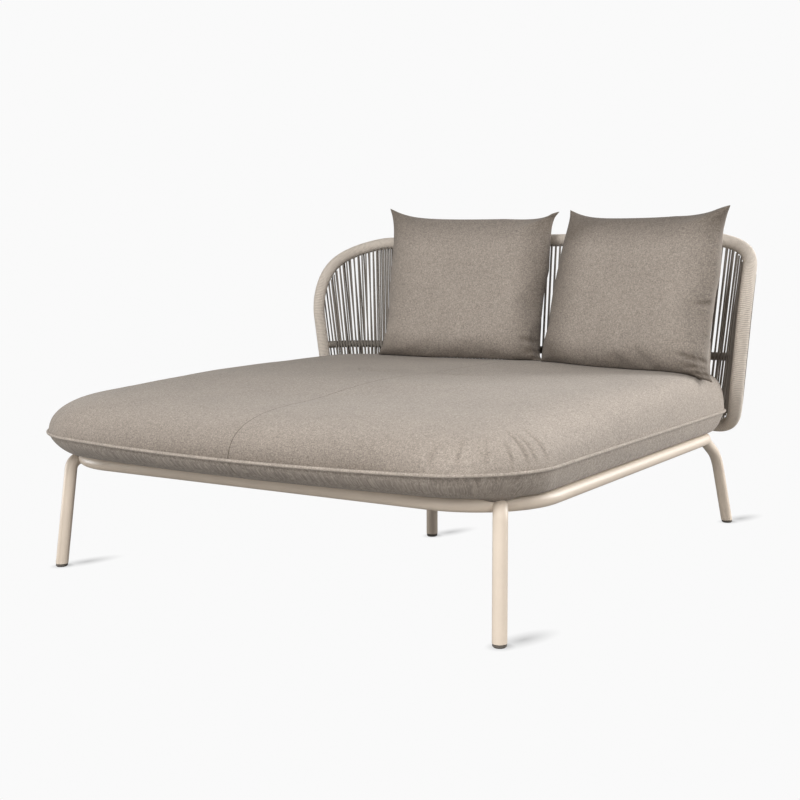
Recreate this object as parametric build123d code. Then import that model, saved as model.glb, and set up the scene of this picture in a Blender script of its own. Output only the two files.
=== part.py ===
"""Sun bed: a low outdoor daybed on a welded tube frame, with a rope-wrapped back hoop,
one thick mattress and two loose scatter pillows.

Sizes are in millimetres. Each piece is laid out from the floor under the middle of the base
frame, then written with its origin where the centre foot stands on the floor.
+X runs along the width, +Y towards the back and +Z up.
"""
from build123d import *

import os
from math import cos, hypot, radians, sin, sqrt, tan

# Base frame: a rounded loop of round tube
frame_width = 1306.0          # between the centre lines of the side rails
frame_depth = 1214.0          # between the centre lines of the front and rear rails
frame_height = 275.0          # floor to the centre line of the tube
frame_tube_diameter = 32.0
frame_tube_wall = 2.0
frame_front_radius = 192.0
frame_rear_radius = 72.0
frame_weld_setback = 60.0     # straight tube between a corner bend and its butt weld

# Slats that carry the mattress, on both sides of the centre beam
slat_count = 7
slat_width = 60.0
slat_thickness = 14.0
slat_wall = 2.0
slat_drop = 3.0               # top of a slat, below the top of the frame
slat_end_margin = 105.0       # first and last slat, from the front and rear rails
centre_beam_diameter = 28.0
centre_beam_wall = 2.0

# Legs and their plastic glides
leg_tube_diameter = 31.0
leg_tube_wall = 2.0
front_foot_side = 628.0       # foot centre on the floor, from the middle of the width
front_foot_forward = 612.0
front_elbow_reach = 33.0      # outer face of the corner bend to the line of the leg
front_elbow_radius = 30.0
rear_foot_side = 648.0
rear_foot_back = 783.0
rear_elbow_side = 636.0
rear_elbow_back = 704.0
rear_elbow_height = 208.0
rear_elbow_radius = 115.0
centre_foot_back = 173.0
glide_height = 8.0
glide_inset = 0.8
glide_chamfer = 2.5
glide_stem_length = 26.0

# Back hoop: a tube loop that lies on a leaning surface, curved forward at both ends
back_reference_height = 612.0  # height at which the next two sizes hold
back_straight_half = 595.0     # flat part of the back, each side of the middle
back_setback = 785.0           # flat part, behind the middle of the frame
back_bend_radius = 120.0
back_bend_angle = 76.0
back_lean_angle = 4.3
hoop_half_length = 815.0       # along the surface, from the middle to a post
hoop_post_rake_share = 0.09    # run along the surface for each unit of height
hoop_top_height = 833.0
hoop_bottom_height = 290.0
hoop_top_radius_along = 300.0
hoop_top_radius_up = 250.0
hoop_bottom_radius = 165.0
hoop_tube_diameter = 28.0
hoop_tube_wall = 2.0
hoop_weld_height = 535.0       # butt weld between the upper and the lower half
hoop_top_corner_steps = 9
hoop_bottom_corner_steps = 6
bend_run_share = 0.45          # share of the shorter run that a bend takes up

# Rope: wrapped close round the hoop and strung up and down it in two layers
rope_diameter = 5.4
rope_wrap_thickness = 5.2
rope_pitch = 14.0
rope_layer_offset = 16.5       # centre of a layer from the middle surface of the hoop
rope_post_margin = 34.0        # last strand from the centre line of a post
rope_end_gap = 0.3
rail_sample_count = 1200       # points at which a strand end is held clear of a wrapped tube
rim_sample_count = 12
strand_end_steps = 9

# Mid rail between the posts, between the two rope layers
mid_rail_height = 489.0
mid_rail_diameter = 18.0
mid_rail_wrap_thickness = 3.2
mid_rail_bend_steps = 9

# Brackets that bolt the hoop to the rear rail
bracket_spacing = 430.0
bracket_tube_diameter = 20.0
bracket_arm_drop = 7.0         # start of the tube, below the middle of the rear rail
bracket_saddle_width = 76.0
bracket_saddle_height = 26.0
bracket_saddle_depth = 14.0
bolt_spacing = 50.0
bolt_diameter = 6.0
bolt_head_diameter = 10.5
bolt_head_height = 3.4
bolt_socket_diameter = 3.0
bolt_length = 26.0
rivet_nut_diameter = 9.0
rivet_nut_length = 15.0
rivet_nut_bulge_diameter = 12.0
rivet_nut_bulge_height = 2.0
bolt_clearance = 0.25

# Mattress: foam core, sewn cover and piping
mattress_half_width = 690.0    # outline at the piping
mattress_front = 676.0         # front corners, forward of the middle of the frame
mattress_front_bow = 50.0
mattress_rear = 733.0
mattress_front_radius = 185.0
mattress_rear_radius = 165.0
mattress_seat_gap = 0.3
piping_height = 350.0
piping_diameter = 8.0
piping_gap = 0.1
mattress_crown_height = 468.0
mattress_cover_thickness = 2.0
mattress_bottom_inset = 36.0
lower_panel_height_shares = (0.0, 0.10, 0.28, 0.55, 1.0)
lower_panel_inset_shares = (1.0, 0.66, 0.36, 0.13, 0.0)
upper_panel_height_shares = (0.0, 0.20, 0.40, 0.58, 0.73, 0.84, 0.92, 0.965, 0.99, 1.0)
upper_panel_inset_shares = (0.0, 0.005, 0.017, 0.036, 0.066, 0.11, 0.19, 0.32, 0.55, 1.0)
mattress_crown_inset = 470.0   # inset of the highest section, at the sides
front_slope_share = 1.75       # upper panel: inset at the front for each unit at the sides
rear_slope_share = 0.6

# Scatter pillows with a knife edge
pillow_width = 590.0
pillow_height = 470.0
pillow_thickness = 150.0
pillow_hollow = 22.0           # how far each side draws in between two corners
pillow_cover_thickness = 1.5
pillow_depth_shares = (0.0, 0.17, 0.34, 0.51, 0.67, 0.80, 0.90, 0.97, 1.0)
pillow_size_shares = (1.0, 0.975, 0.94, 0.885, 0.80, 0.69, 0.55, 0.37, 0.16)
pillow_hollow_shares = (1.0, 0.72, 0.42, 0.10, -0.20, -0.42, -0.55, -0.45, -0.20)
pillow_lean_angle = 10.5
pillow_seat_gap = 0.3          # inner bottom corner above the mattress
left_pillow_side = -178.0
left_pillow_back = 675.0
left_pillow_turn = 4.3
left_pillow_roll = -0.8
right_pillow_side = 422.0
right_pillow_back = 576.0
right_pillow_turn = -15.3
right_pillow_roll = -1.0

cut_overrun = 40.0

# Worked out from the sizes above
frame_tube_radius = frame_tube_diameter / 2
frame_bore_radius = frame_tube_radius - frame_tube_wall
frame_half_width = frame_width / 2
frame_half_depth = frame_depth / 2
frame_top = frame_height + frame_tube_radius
front_weld_back = -frame_half_depth + frame_front_radius + frame_weld_setback
rear_weld_back = frame_half_depth - frame_rear_radius - frame_weld_setback
beam_radius = centre_beam_diameter / 2
beam_bore_radius = beam_radius - centre_beam_wall
leg_radius = leg_tube_diameter / 2
leg_bore_radius = leg_radius - leg_tube_wall
trim_block_size = 4 * leg_tube_diameter
slat_inner_end = beam_radius / 4
hoop_tube_radius = hoop_tube_diameter / 2
hoop_bore_radius = hoop_tube_radius - hoop_tube_wall
wrap_radius = hoop_tube_radius + rope_wrap_thickness
rope_radius = rope_diameter / 2
mid_rail_radius = mid_rail_diameter / 2
mid_rail_wrap_radius = mid_rail_radius + mid_rail_wrap_thickness
mattress_bottom = frame_top + mattress_seat_gap
half_turn = 180.0
quarter_turn = 90.0


def write(shape, node):
    """The origin of the finished part is where the centre foot stands on the floor."""
    export_step(Pos(0, -centre_foot_back, 0) * shape, f"parts/{node}.step")


def swept(path, radius):
    """A round bar of one radius along a path of tangent runs and arcs."""
    section = Plane(origin=path @ 0, z_dir=path % 0) * Circle(radius)
    return sweep(section, path=path)


def tube(path, outer_radius, bore_radius):
    return swept(path, outer_radius) - swept(path, bore_radius)


def rod(start, end, radius):
    """A straight round bar between two points."""
    axis = Vector(*end) - Vector(*start)
    return Solid.make_cylinder(radius, axis.length, Plane(origin=start, z_dir=axis))


def bend_path(points):
    """Straight runs through the points, with as large a tangent arc at each as the runs allow."""
    corners = [Vector(*p) for p in points]
    radii = []
    for before, here, after in zip(corners, corners[1:], corners[2:]):
        run = min((here - before).length, (after - here).length)
        turn = radians((here - before).get_angle(after - here))
        radii.append(bend_run_share * run / tan(turn / 2))
    return FilletPolyline(*corners, radius=radii)


# Base frame

def front_rail_path():
    z = frame_height
    return FilletPolyline(
        (-frame_half_width, front_weld_back, z),
        (-frame_half_width, -frame_half_depth, z),
        (frame_half_width, -frame_half_depth, z),
        (frame_half_width, front_weld_back, z),
        radius=frame_front_radius,
    )


def rear_rail_path():
    z = frame_height
    return FilletPolyline(
        (-frame_half_width, rear_weld_back, z),
        (-frame_half_width, frame_half_depth, z),
        (frame_half_width, frame_half_depth, z),
        (frame_half_width, rear_weld_back, z),
        radius=frame_rear_radius,
    )


def side_rail_ends(sign):
    x = sign * frame_half_width
    return (x, front_weld_back, frame_height), (x, rear_weld_back, frame_height)


def corner_point(sign, depth_sign, radius):
    """Middle of a corner bend of the frame, on the centre line of the tube."""
    reach = radius * (1 - cos(radians(quarter_turn / 2)))
    return sign * (frame_half_width - reach), depth_sign * (frame_half_depth - reach)


def front_leg_path(sign):
    """From the corner bend outwards, round the elbow and down to below the floor."""
    x, y = corner_point(sign, -1, frame_front_radius)
    foot_x, foot_y = sign * front_foot_side, -front_foot_forward
    across = hypot(foot_x - x, foot_y - y)
    bend_x = x + (foot_x - x) * front_elbow_reach / across
    bend_y = y + (foot_y - y) * front_elbow_reach / across
    below_x = foot_x + (foot_x - bend_x) * cut_overrun / frame_height
    below_y = foot_y + (foot_y - bend_y) * cut_overrun / frame_height
    return FilletPolyline(
        (x, y, frame_height),
        (bend_x, bend_y, frame_height),
        (below_x, below_y, -cut_overrun),
        radius=front_elbow_radius,
    )


def rear_leg_path(sign):
    """From under the rear corner backwards, round a wide elbow and down to below the floor."""
    x, y = corner_point(sign, 1, frame_rear_radius)
    bend_x, bend_y = sign * rear_elbow_side, rear_elbow_back
    slope = cut_overrun / rear_elbow_height
    below_x = sign * (rear_foot_side + (rear_foot_side - rear_elbow_side) * slope)
    below_y = rear_foot_back + (rear_foot_back - rear_elbow_back) * slope
    return FilletPolyline(
        (x, y, frame_height),
        (bend_x, bend_y, rear_elbow_height),
        (below_x, below_y, -cut_overrun),
        radius=rear_elbow_radius,
    )


def centre_leg_path():
    return Line((0, centre_foot_back, frame_height), (0, centre_foot_back, -cut_overrun))


def below_height(height, centre):
    """A block that fills the space round a foot up to one height."""
    size = trim_block_size
    block = Box(size, size, height + 2 * cut_overrun, align=(Align.CENTER, Align.CENTER, Align.MAX))
    return Pos(centre.X, centre.Y, height) * block


def above_height(height, centre):
    """A block that fills the space round a leg from one height upwards."""
    size = trim_block_size
    return Pos(centre.X, centre.Y, height) * Box(size, size, size, align=(Align.CENTER, Align.CENTER, Align.MIN))


def leg(path, carrier):
    foot = path @ 1
    return tube(path, leg_radius, leg_bore_radius) - below_height(glide_height, foot) - carrier


def glide(path):
    """Plastic foot: a flat cap under the tube and a stem that fills its bore."""
    end = path @ 1
    back = path % 1 * -1
    top = end + back * ((glide_stem_length + glide_height + cut_overrun) / abs(back.Z))
    cap = rod(end, top, leg_radius - glide_inset)
    cap = cap - below_height(0, end)
    cap = cap - above_height(glide_height, end)
    cap = chamfer(cap.edges().group_by(Axis.Z)[0], glide_chamfer)
    stem = rod(end, top, leg_bore_radius) - below_height(glide_height, end)
    return cap + stem


def slat(sign, y, rails):
    """A flat box tube from the centre beam to the side rail, shaped to both."""
    inner = slat_inner_end
    length = frame_half_width - inner
    middle = Pos(sign * (inner + length / 2), y, frame_top - slat_drop - slat_thickness / 2)
    body = Box(length, slat_width, slat_thickness)
    hollow = Box(length, slat_width - 2 * slat_wall, slat_thickness - 2 * slat_wall)
    pieces = middle * (body - hollow) - rails
    return pieces.solids().sort_by(SortBy.VOLUME)[-1]


def slat_places():
    first = -frame_half_depth + slat_end_margin
    step = (frame_depth - 2 * slat_end_margin) / (slat_count - 1)
    return [first + step * number for number in range(slat_count)]


# Back hoop

def back_point(s, z, lift=0.0):
    """Point of the leaning back surface, s along its plan from the middle, at height z.

    lift moves the point out of the surface, backwards and outwards where it is positive.
    """
    sign = -1 if s < 0 else 1
    along = abs(s)
    bend = radians(back_bend_angle)
    turned = min(max((along - back_straight_half) / back_bend_radius, 0), bend)
    beyond = max(along - back_straight_half - back_bend_radius * bend, 0)
    x = min(along, back_straight_half) + back_bend_radius * sin(turned) + beyond * cos(bend)
    y = back_setback - back_bend_radius * (1 - cos(turned)) - beyond * sin(bend)
    out = tan(radians(back_lean_angle)) * (z - back_reference_height) + lift
    return Vector(sign * (x + sin(turned) * out), y + cos(turned) * out, z)


def raked(s, z):
    """Distance along the surface at height z, for a line that leans with the posts."""
    return s * (1 + hoop_post_rake_share * (z - back_reference_height) / hoop_half_length)


def on_hoop(s, z, lift=0.0):
    return back_point(raked(s, z), z, lift)


def top_corner(steps):
    """Corner points of the top bend, from the post to the top rail."""
    step = radians(quarter_turn) / steps
    spread = 1 / cos(step / 2)
    points = []
    for number in range(steps):
        angle = step * (number + 0.5)
        points.append((
            hoop_half_length - hoop_top_radius_along * (1 - cos(angle) * spread),
            hoop_top_height - hoop_top_radius_up * (1 - sin(angle) * spread),
        ))
    return points


def bottom_corner(steps):
    """Corner points of the bottom bend, from the post to the bottom rail."""
    step = radians(quarter_turn) / steps
    spread = 1 / cos(step / 2)
    points = []
    for number in range(steps):
        angle = step * (number + 0.5)
        points.append((
            hoop_half_length - hoop_bottom_radius * (1 - cos(angle) * spread),
            hoop_bottom_height + hoop_bottom_radius * (1 - sin(angle) * spread),
        ))
    return points


def mirrored_path(half):
    """Path through the points of the right half and their mirror images."""
    return bend_path(half + [Vector(-point.X, point.Y, point.Z) for point in reversed(half)])


def upper_hoop_path():
    corners = [(hoop_half_length, hoop_weld_height)] + top_corner(hoop_top_corner_steps)
    return mirrored_path([on_hoop(s, z) for s, z in corners])


def lower_hoop_path():
    corners = [(hoop_half_length, hoop_weld_height)] + bottom_corner(hoop_bottom_corner_steps)
    half = [on_hoop(s, z) for s, z in corners]
    return mirrored_path(half + [back_point(back_straight_half, hoop_bottom_height)])


def mid_rail_path():
    """Level rail between the centre lines of the two posts."""
    step = radians(back_bend_angle) / mid_rail_bend_steps
    out = tan(radians(back_lean_angle)) * (mid_rail_height - back_reference_height)
    spread = (back_bend_radius + out) * (1 / cos(step / 2) - 1)
    half = [back_point(raked(hoop_half_length, mid_rail_height), mid_rail_height)]
    for number in reversed(range(mid_rail_bend_steps)):
        s = back_straight_half + back_bend_radius * step * (number + 0.5)
        half.append(back_point(s, mid_rail_height, spread))
    return mirrored_path(half)


def post_rod(sign, radius):
    """The straight post of the lower half, as a bar to cut with."""
    low = hoop_bottom_height + hoop_bottom_radius
    return rod(on_hoop(sign * hoop_half_length, low), on_hoop(sign * hoop_half_length, hoop_weld_height), radius)


# Rope

def rail_samples(path):
    """Points close together along the right half of the centre line of a hoop tube."""
    points = [path @ (number / rail_sample_count) for number in range(rail_sample_count + 1)]
    return [(point.X, point.Y, point.Z) for point in points if point.X > -wrap_radius]


def rim_points(centre, direction):
    """Points round the flat end of a strand."""
    plane = Plane(origin=centre, z_dir=direction)
    points = []
    for number in range(rim_sample_count):
        angle = radians(2 * half_turn * number / rim_sample_count)
        point = centre + plane.x_dir * (rope_radius * cos(angle)) + plane.y_dir * (rope_radius * sin(angle))
        points.append((point.X, point.Y, point.Z))
    return points


def clearance(points, samples):
    """Smallest distance from the points to the wrapped tube along the samples."""
    nearest = min((x - a) ** 2 + (y - b) ** 2 + (z - c) ** 2 for x, y, z in points for a, b, c in samples)
    return sqrt(nearest) - wrap_radius


def is_clear(s, height, lift, direction, samples):
    """Whether a strand that ends at this height stays clear of the wrapped tube."""
    centre = on_hoop(s, height, lift)
    reach = 2 * wrap_radius
    close = [p for p in samples if abs(p[2] - height) < reach and hypot(p[0] - centre.X, p[1] - centre.Y) < reach]
    return not close or clearance(rim_points(centre, direction), close) > rope_end_gap


def strand_end(s, lift, direction, samples):
    """Height at which a strand ends just short of the wrapped rail.

    It walks from the mid rail towards the rail and then halves the last step.
    """
    step = wrap_radius if direction.Z > 0 else -wrap_radius
    height = mid_rail_height
    while is_clear(s, height + step, lift, direction, samples):
        height += step
    for _ in range(strand_end_steps):
        step = step / 2
        if is_clear(s, height + step, lift, direction, samples):
            height += step
    return height


def strand_places():
    """Places of the strands of one layer along the hoop, at the reference height."""
    reach = hoop_half_length - rope_post_margin
    pairs = int(reach / rope_pitch)
    return [rope_pitch * number for number in range(-pairs, pairs + 1)]


def strand_heights(s, lift, upper_samples, lower_samples):
    """Bottom and top end of a strand, worked out on the right half, which the left half mirrors."""
    along = abs(s)
    direction = on_hoop(along, hoop_weld_height, lift) - on_hoop(along, mid_rail_height, lift)
    low = strand_end(along, lift, direction * -1, lower_samples)
    high = strand_end(along, lift, direction, upper_samples)
    return low, high


# Mattress and pillows

def mattress_outline(inset, height, thickness=0.0, front_share=1.0, rear_share=1.0):
    """Plan outline of the mattress, moved in by inset, at one height."""
    share = 1 - inset / mattress_half_width
    half = mattress_half_width - inset - thickness
    front = -mattress_front + inset * front_share + thickness
    rear = mattress_rear - inset * rear_share - thickness
    bow = mattress_front_bow * share
    corners = [(-half, front), (half, front), (half, rear), (-half, rear)]
    outline = Face(Wire([
        ThreePointArc(corners[0], (0, front - bow), corners[1]).edge(),
        Line(corners[1], corners[2]).edge(),
        Line(corners[2], corners[3]).edge(),
        Line(corners[3], corners[0]).edge(),
    ]))
    rows = outline.vertices().group_by(Axis.Y)
    outline = outline.fillet_2d(mattress_front_radius * share, rows[0])
    rows = outline.vertices().group_by(Axis.Y)
    outline = outline.fillet_2d(mattress_rear_radius * share, rows[-1])
    return Pos(0, 0, height) * outline


def mattress_form(thickness=0.0):
    """Crowned mattress with a drawn-in lower panel, thinner all round by thickness."""
    bottom = mattress_bottom + thickness
    crown = mattress_crown_height - thickness
    lower = []
    for height, inset in zip(lower_panel_height_shares, lower_panel_inset_shares):
        z = bottom + (piping_height - bottom) * height
        lower.append(mattress_outline(mattress_bottom_inset * inset, z, thickness))
    upper = []
    for height, inset in zip(upper_panel_height_shares, upper_panel_inset_shares):
        z = piping_height + (crown - piping_height) * height
        upper.append(mattress_outline(
            mattress_crown_inset * inset, z, thickness, front_slope_share, rear_slope_share))
    return loft(lower, ruled=True) + loft(upper, ruled=True)


def pillow_section(width, height, hollow, depth):
    """Four-sided section with each side hollowed, or bulged where hollow is negative."""
    x, z = width / 2, height / 2
    corners = [(-x, -z), (x, -z), (x, z), (-x, z)]
    middles = [(0, -z + hollow), (x - hollow, 0), (0, z - hollow), (-x + hollow, 0)]
    edges = []
    for number, middle in enumerate(middles):
        edges.append(ThreePointArc(corners[number], middle, corners[(number + 1) % 4]).edge())
    return Pos(0, 0, depth) * Face(Wire(edges))


def pillow_form(thickness=0.0):
    """Pillow lying flat: seam outline at height zero, one crown above it and one below."""
    front = []
    for depth, size, hollow in zip(pillow_depth_shares, pillow_size_shares, pillow_hollow_shares):
        front.append(pillow_section(
            (pillow_width - 2 * thickness) * size,
            (pillow_height - 2 * thickness) * size,
            pillow_hollow * hollow,
            (pillow_thickness / 2 - thickness) * depth,
        ))
    half = loft(front, ruled=True)
    return half + mirror(half, about=Plane.XY)


def mattress_top(y):
    """Height of the upper panel at one distance back, away from its sides."""
    share = (mattress_rear - y) / rear_slope_share / mattress_crown_inset
    steps = list(zip(upper_panel_inset_shares, upper_panel_height_shares))
    for (inset, low), (next_inset, high) in zip(steps, steps[1:]):
        if share <= next_inset:
            height = low + (high - low) * (share - inset) / (next_inset - inset)
            return piping_height + (mattress_crown_height - piping_height) * height
    return mattress_crown_height


def pillow_place(x, y, turn, roll, inner_side):
    """Stand a flat pillow up, lean it back and turn it, with its inner corner on the mattress."""
    stand = Rot(0, 0, turn) * Rot(quarter_turn - pillow_lean_angle, 0, 0) * Rot(0, 0, roll)
    corner = (stand * Pos(inner_side * pillow_width / 2, -pillow_height / 2, 0)).position
    z = mattress_top(y + corner.Y) + pillow_seat_gap - corner.Z
    return Pos(x, y, z) * stand


# Brackets and bolts

def bracket_places():
    return [-bracket_spacing, 0.0, bracket_spacing]


def bracket_arm(x):
    """Tube of a bracket, from the rear rail to the centre of the bottom rail of the hoop."""
    start = (x, frame_half_depth, frame_height - bracket_arm_drop)
    return rod(start, back_point(x, hoop_bottom_height), bracket_tube_diameter / 2)


def bracket(x):
    """Saddle that hugs the rear rail, with a short tube out to the hoop."""
    saddle = Pos(x, bolt_seat(), frame_height) * Box(
        bracket_saddle_width, bracket_saddle_depth, bracket_saddle_height,
        align=(Align.CENTER, Align.MAX, Align.CENTER))
    body = saddle + bracket_arm(x)
    rail = rod((-frame_half_width, frame_half_depth, frame_height),
               (frame_half_width, frame_half_depth, frame_height), frame_tube_radius)
    hoop = rod(back_point(-back_straight_half, hoop_bottom_height),
               back_point(back_straight_half, hoop_bottom_height), hoop_tube_radius)
    body = body - rail - hoop
    for bolt_x in bolt_places(x):
        body = body - bolt_bar(bolt_x, bolt_diameter / 2 + bolt_clearance)
    return body


def bolt_places(x):
    return [x - bolt_spacing / 2, x + bolt_spacing / 2]


def bolt_seat():
    """Rear face of a saddle, where the bolt heads sit."""
    return frame_half_depth + frame_tube_radius / 2 + bracket_saddle_depth


def round_depth(radius, across):
    """How far a round surface still reaches at a distance across from its middle plane."""
    return sqrt(radius * radius - across * across)


def bolt_bar(x, radius, length=bolt_length):
    seat = bolt_seat()
    return rod((x, seat, frame_height), (x, seat - length, frame_height), radius)


def bolt(x):
    """Button-head screw from behind, through the saddle into its rivet nut."""
    seat = bolt_seat()
    head = rod((x, seat, frame_height), (x, seat + bolt_head_height, frame_height), bolt_head_diameter / 2)
    socket = rod((x, seat + bolt_head_height / 2, frame_height),
                 (x, seat + bolt_head_height + cut_overrun, frame_height), bolt_socket_diameter / 2)
    return head - socket + bolt_bar(x, bolt_diameter / 2)


def rivet_nut(x):
    """Threaded bush through the rear wall of the rear rail, clinched with a bulge inside it."""
    start = frame_half_depth + round_depth(frame_tube_radius, rivet_nut_diameter / 2)
    body = rod((x, start, frame_height), (x, start - rivet_nut_length, frame_height), rivet_nut_diameter / 2)
    bulge_start = frame_half_depth + round_depth(frame_bore_radius, rivet_nut_bulge_diameter / 2)
    bulge_end = bulge_start - rivet_nut_bulge_height
    bulge = rod((x, bulge_start, frame_height), (x, bulge_end, frame_height), rivet_nut_bulge_diameter / 2)
    return body + bulge - bolt_bar(x, bolt_diameter / 2)


def build_frame():
    front_path = front_rail_path()
    rear_path = rear_rail_path()
    front_solid = swept(front_path, frame_tube_radius)
    rear_solid = swept(rear_path, frame_tube_radius)
    write(front_solid - swept(front_path, frame_bore_radius), "front_rail")
    bolts = [place for x in bracket_places() for place in bolt_places(x)]
    rear_rail = rear_solid - swept(rear_path, frame_bore_radius)
    for x in bolts:
        wall = frame_half_depth + frame_bore_radius / 2
        rear_rail = rear_rail - rod((x, wall, frame_height), (x, bolt_seat(), frame_height), rivet_nut_diameter / 2)
    write(rear_rail, "rear_rail")
    write(Compound([bolt(x) for x in bolts]), "bracket_bolts")
    write(Compound([rivet_nut(x) for x in bolts]), "bracket_rivet_nuts")

    beam_ends = (0, -frame_half_depth, frame_height), (0, frame_half_depth, frame_height)
    beam_solid = rod(*beam_ends, beam_radius)
    write(beam_solid - rod(*beam_ends, beam_bore_radius) - front_solid - rear_solid, "centre_beam")

    for sign, hand in ((-1, "left"), (1, "right")):
        ends = side_rail_ends(sign)
        rail_solid = rod(*ends, frame_tube_radius)
        write(rail_solid - rod(*ends, frame_bore_radius), f"side_rail_{hand}")
        carriers = [front_solid, rear_solid, rail_solid, beam_solid]
        for number, y in enumerate(slat_places(), start=1):
            write(slat(sign, y, carriers), f"slat_{hand}_{number}")
        front_leg = front_leg_path(sign)
        write(leg(front_leg, front_solid), f"front_leg_{hand}")
        write(glide(front_leg), f"front_glide_{hand}")
        rear_leg = rear_leg_path(sign)
        write(leg(rear_leg, rear_solid), f"rear_leg_{hand}")
        write(glide(rear_leg), f"rear_glide_{hand}")
    centre_leg = centre_leg_path()
    slat_bottom = frame_top - slat_drop - slat_thickness
    write(leg(centre_leg, beam_solid) - above_height(slat_bottom, centre_leg @ 0), "centre_leg")
    write(glide(centre_leg), "centre_glide")


def build_hoop():
    upper_path = upper_hoop_path()
    lower_path = lower_hoop_path()
    write(tube(upper_path, hoop_tube_radius, hoop_bore_radius), "hoop_tube_upper")
    write(tube(lower_path, hoop_tube_radius, hoop_bore_radius), "hoop_tube_lower")
    write(tube(upper_path, wrap_radius, hoop_tube_radius), "rope_wrap_upper")

    middle_path = mid_rail_path()
    rail_solid = swept(middle_path, mid_rail_radius)
    rail = rail_solid
    sleeve = tube(middle_path, mid_rail_wrap_radius, mid_rail_radius)
    for sign in (-1, 1):
        rail = rail - post_rod(sign, hoop_tube_radius)
        sleeve = sleeve - post_rod(sign, wrap_radius)
    write(rail, "mid_rail")
    write(sleeve, "mid_rail_wrap")

    lower_wrap = tube(lower_path, wrap_radius, hoop_tube_radius) - rail_solid
    for number, x in enumerate(bracket_places(), start=1):
        lower_wrap = lower_wrap - bracket_arm(x)
        write(bracket(x), f"hoop_bracket_{number}")
    write(lower_wrap, "rope_wrap_lower")

    upper_samples = rail_samples(upper_path)
    lower_samples = rail_samples(lower_path)
    for layer, lift in (("front", -rope_layer_offset), ("rear", rope_layer_offset)):
        groups = {"left_wing": [], "middle": [], "right_wing": []}
        for s in strand_places():
            wing = "left_wing" if s < 0 else "right_wing"
            group = "middle" if abs(s) < back_straight_half else wing
            low, high = strand_heights(s, lift, upper_samples, lower_samples)
            groups[group].append(rod(on_hoop(s, low, lift), on_hoop(s, high, lift), rope_radius))
        for group, strands in groups.items():
            write(Compound(strands), f"rope_{layer}_{group}")


def build_mattress():
    core = mattress_form(mattress_cover_thickness)
    write(core, "mattress_core")
    write(mattress_form() - core, "mattress_cover")
    radius = piping_diameter / 2
    line = mattress_outline(0.0, piping_height, -radius - piping_gap).outer_wire()
    write(swept(line, radius), "mattress_piping")


def build_pillows():
    inner = pillow_form(pillow_cover_thickness)
    cover = pillow_form() - inner
    left = pillow_place(left_pillow_side, left_pillow_back, left_pillow_turn, left_pillow_roll, 1)
    right = pillow_place(right_pillow_side, right_pillow_back, right_pillow_turn, right_pillow_roll, -1)
    for hand, place in (("left", left), ("right", right)):
        write(place * cover, f"pillow_cover_{hand}")
        write(place * inner, f"pillow_inner_{hand}")


os.makedirs("parts", exist_ok=True)
build_frame()
build_hoop()
build_mattress()
build_pillows()
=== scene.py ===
"""Looks of the sun bed: a daybed with a rope-wrapped back hoop, one mattress and two scatter pillows.

Lengths are in metres in the part's own frame: the origin is where the centre foot stands on the
floor, +X runs along the width, +Y towards the back and +Z up.
"""

from math import ceil, cos, pi, radians, sin, tan

import bpy
import numpy as np
from mathutils import Matrix, Vector
from mathutils.bvhtree import BVHTree


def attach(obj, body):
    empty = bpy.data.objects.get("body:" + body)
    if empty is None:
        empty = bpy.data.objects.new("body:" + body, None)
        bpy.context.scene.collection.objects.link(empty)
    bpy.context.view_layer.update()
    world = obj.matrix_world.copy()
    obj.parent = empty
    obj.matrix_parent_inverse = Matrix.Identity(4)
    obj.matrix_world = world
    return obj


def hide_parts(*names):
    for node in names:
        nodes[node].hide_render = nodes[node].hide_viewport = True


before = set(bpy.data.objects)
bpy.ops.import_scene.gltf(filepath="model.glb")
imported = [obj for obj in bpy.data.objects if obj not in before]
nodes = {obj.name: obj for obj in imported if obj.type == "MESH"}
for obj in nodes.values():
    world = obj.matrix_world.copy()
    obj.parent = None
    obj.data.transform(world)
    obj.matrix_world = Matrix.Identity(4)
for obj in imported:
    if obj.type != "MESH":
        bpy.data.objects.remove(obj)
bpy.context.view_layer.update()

# Back hoop, as in the CAD model
back_reference_height = 0.612
back_straight_half = 0.595
back_setback = 0.612
back_bend_radius = 0.120
back_bend_angle = radians(76)
back_lean = tan(radians(4.3))
hoop_half_length = 0.815
hoop_rake_share = 0.09
hoop_top_height = 0.833
hoop_bottom_height = 0.290
hoop_top_along = 0.300
hoop_top_up = 0.250
hoop_bottom_radius = 0.165
hoop_weld_height = 0.535
hoop_top_steps = 9
hoop_bottom_steps = 6
hoop_tube_radius = 0.014
wrap_radius = 0.0192
mid_rail_height = 0.489
mid_rail_radius = 0.009
mid_wrap_radius = 0.0122
mid_rail_steps = 9
wrap_pitch = 0.0050
wrap_groove = 0.0016

# Mattress
half_width = 0.690
front_edge = 0.849
rear_edge = 0.560
front_bow = 0.050
front_radius = 0.185
rear_radius = 0.165
mattress_bottom = 0.2913
piping_height = 0.350
crown_height = 0.468
bottom_inset = 0.036
seam_place = 0.030
front_slope = 1.75
rear_slope = 0.6
piping_radius = 0.004
crown_dome = 0.004
side_shift = 0.085
front_tuck = 0.030
front_sag_depth = 0.0085
front_fall_depth = 0.021
gather_depth = 2.8
cloth_ripple = 0.0003
seam_groove = 0.0012
seam_cut = 0.0014
seam_half_width = 0.008

# What the mattress lies on: the frame's middle, the slats, the opening's half sizes, and its sag
frame_middle = -0.173
slat_reach = 0.502
slat_count = 7
opening_half_width = 0.632
opening_half_depth = 0.590
slat_touch = 0.0022
slat_sag = 0.0075

# Cloth: width of a thread, colour of the painted shade in the deepest fold, the depth of that fold, and
# the share of that painted shade at the front
thread_width = 0.0011
fold_shade_colour = (0.52, 0.50, 0.48)
fold_shade_depth = 0.0045
front_slope_shade = 0.85

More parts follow.
